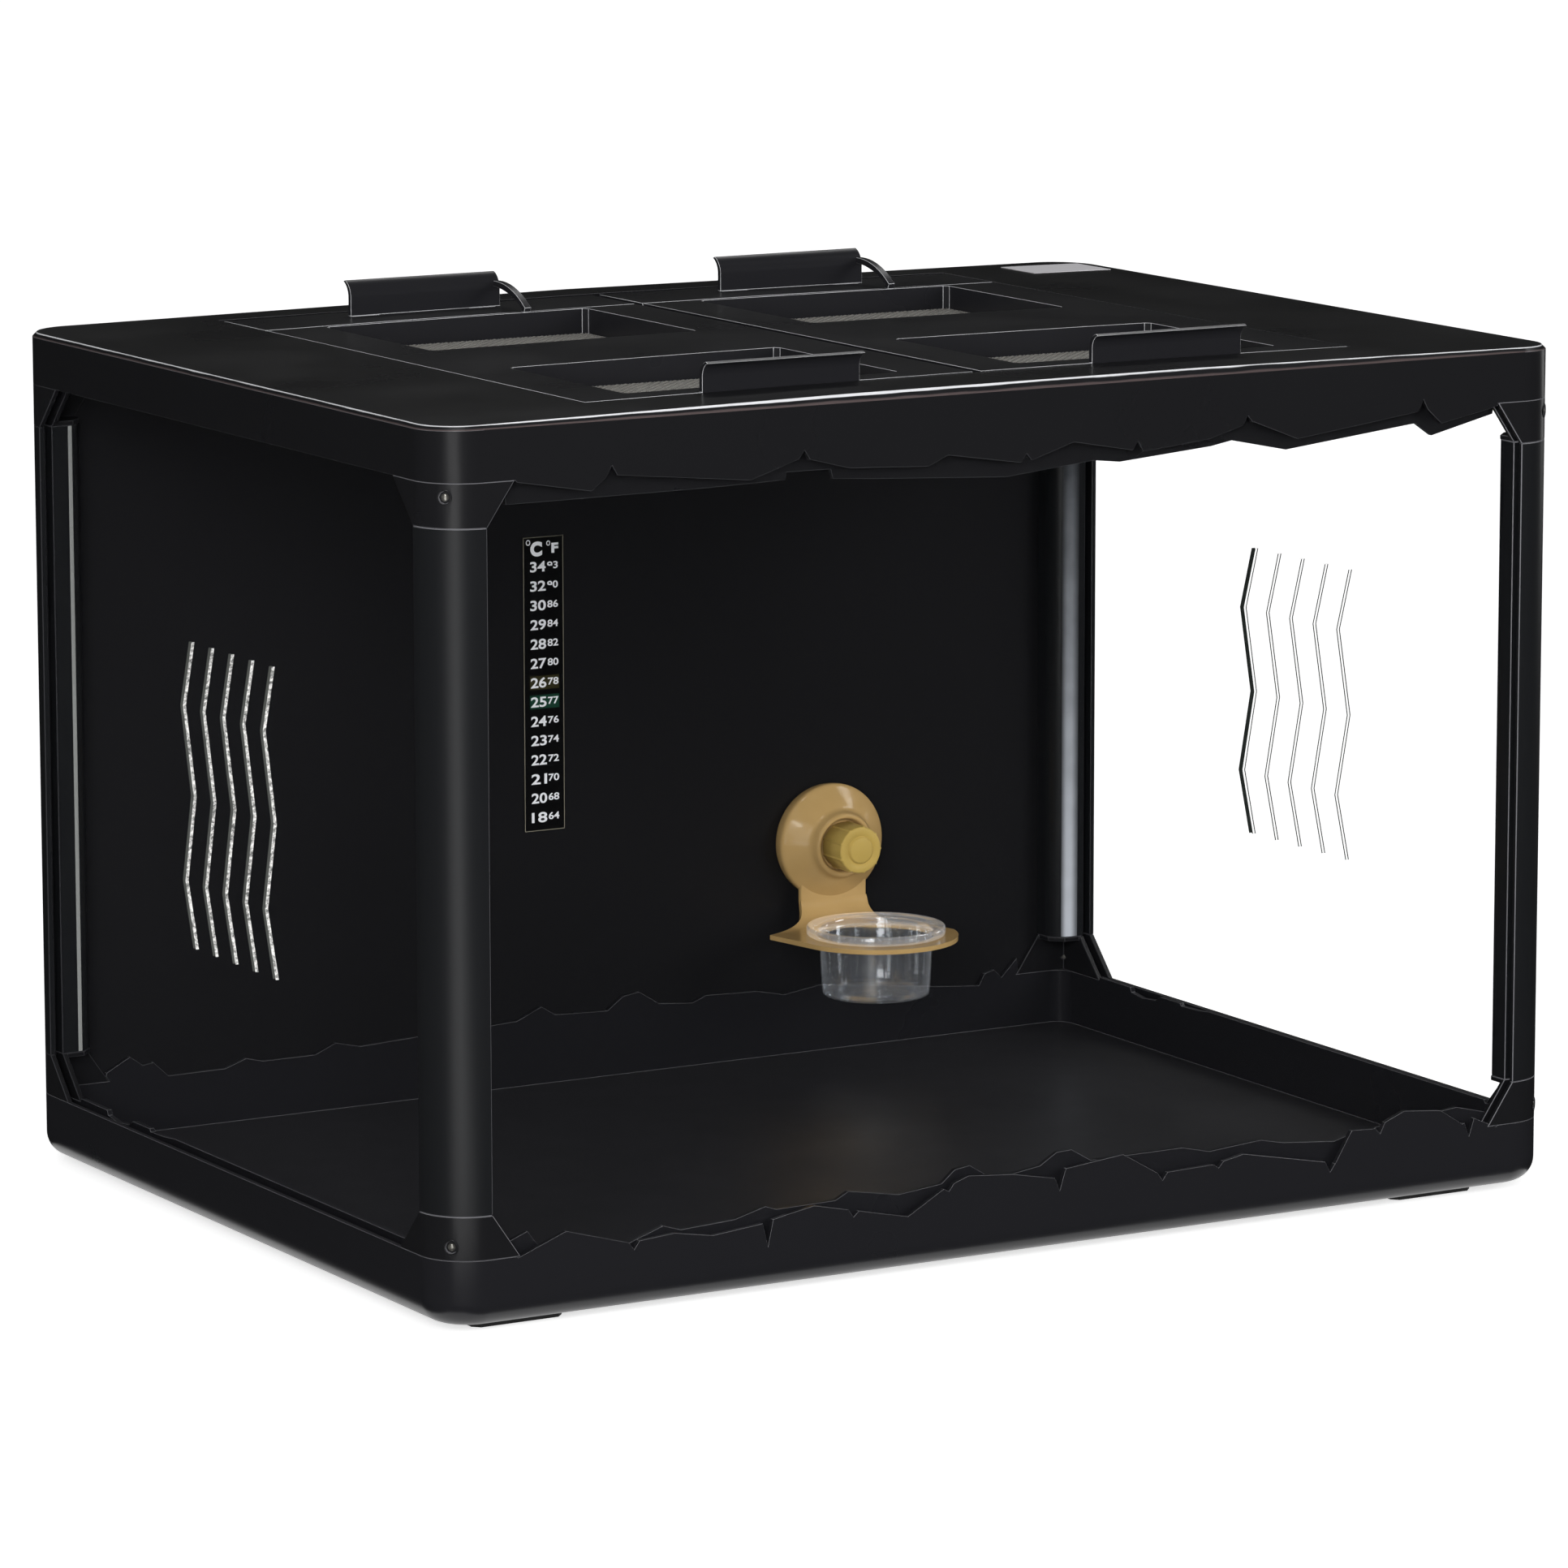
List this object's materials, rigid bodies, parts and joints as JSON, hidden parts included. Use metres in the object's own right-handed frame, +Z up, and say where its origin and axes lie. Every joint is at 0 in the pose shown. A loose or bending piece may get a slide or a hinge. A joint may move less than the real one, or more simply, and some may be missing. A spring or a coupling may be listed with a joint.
{
  "type": "reptile terrarium",
  "caption": "Clear reptile terrarium with black corner posts, rock-shaped tray and top frame, hinged mesh-window lids, vented sides, opaque back and a sucker-mounted feeding cup.",
  "frame": {"origin": "centre of the footprint, on the surface the feet stand on", "axes": "+X to the right seen from the front, +Y to the back, +Z up"},
  "size_m": [0.52, 0.378, 0.3693],
  "materials": {
    "black_gloss": "glossy moulded black plastic",
    "clear_pane": "clear acrylic sheet",
    "black_panel": "black sheet plastic",
    "mesh": "fine woven wire",
    "pin_steel": "drawn steel",
    "screw_steel": "bright plated",
    "foot_rubber": "matt black rubber",
    "strip_film": "printed film with a white scale",
    "sticker": "blank silver-grey film",
    "sucker": "soft clear rubber",
    "tan_gloss": "glossy tan plastic",
    "knob_tan": "glossy olive-tan plastic",
    "clear_cup": "thin clear plastic"
  },
  "bodies": {
    "enclosure": {"base_tray": "black_gloss", "top_frame": "black_gloss", "front_pane": "clear_pane", "left_pane": "clear_pane", "right_pane": "clear_pane", "back_panel": "black_panel", "post_front_left": "black_gloss", "post_front_right": "black_gloss", "post_rear_left": "black_gloss", "post_rear_right": "black_gloss", "bottom_bracket_front_left": "black_gloss", "bottom_bracket_front_right": "black_gloss", "bottom_bracket_rear_left": "black_gloss", "bottom_bracket_rear_right": "black_gloss", "top_bracket_front_left": "black_gloss", "top_bracket_front_right": "black_gloss", "top_bracket_rear_left": "black_gloss", "top_bracket_rear_right": "black_gloss", "bottom_screws": "screw_steel", "top_screws": "screw_steel", "foot_front_left": "foot_rubber", "foot_front_right": "foot_rubber", "foot_rear_left": "foot_rubber", "foot_rear_right": "foot_rubber", "left_hinge_pin": "pin_steel", "middle_hinge_pin": "pin_steel", "right_hinge_pin": "pin_steel", "thermometer_strip": "strip_film", "blank_sticker": "sticker", "feeder_sucker": "sucker", "feeder_bracket": "tan_gloss"},
    "left_door": {"left_lid": "black_gloss", "mesh_left_front": "mesh", "mesh_left_rear": "mesh"},
    "right_door": {"right_lid": "black_gloss", "mesh_right_front": "mesh", "mesh_right_rear": "mesh"},
    "knob": {"feeder_knob": "knob_tan"},
    "cup": {"food_cup": "clear_cup"}
  },
  "joints": [
    {"name": "left_lid_hinge", "type": "hinge", "parent": "enclosure", "child": "left_door", "pos_m": [-0.0895, 0.161, 0.35087], "axis": [-1, 0, 0], "range_deg": [0, 90]},
    {"name": "right_lid_hinge", "type": "hinge", "parent": "enclosure", "child": "right_door", "pos_m": [0.0895, 0.161, 0.35087], "axis": [-1, 0, 0], "range_deg": [0, 90]},
    {"name": "knob_turn", "type": "hinge", "parent": "enclosure", "child": "knob", "pos_m": [0.127, 0.16, 0.1015], "axis": [0, -1, 0], "range_deg": [-180, 180]},
    {"name": "cup_lift", "type": "slide", "parent": "enclosure", "child": "cup", "axis": [0, 0, 1], "range_m": [0, 0.015]}
  ]
}
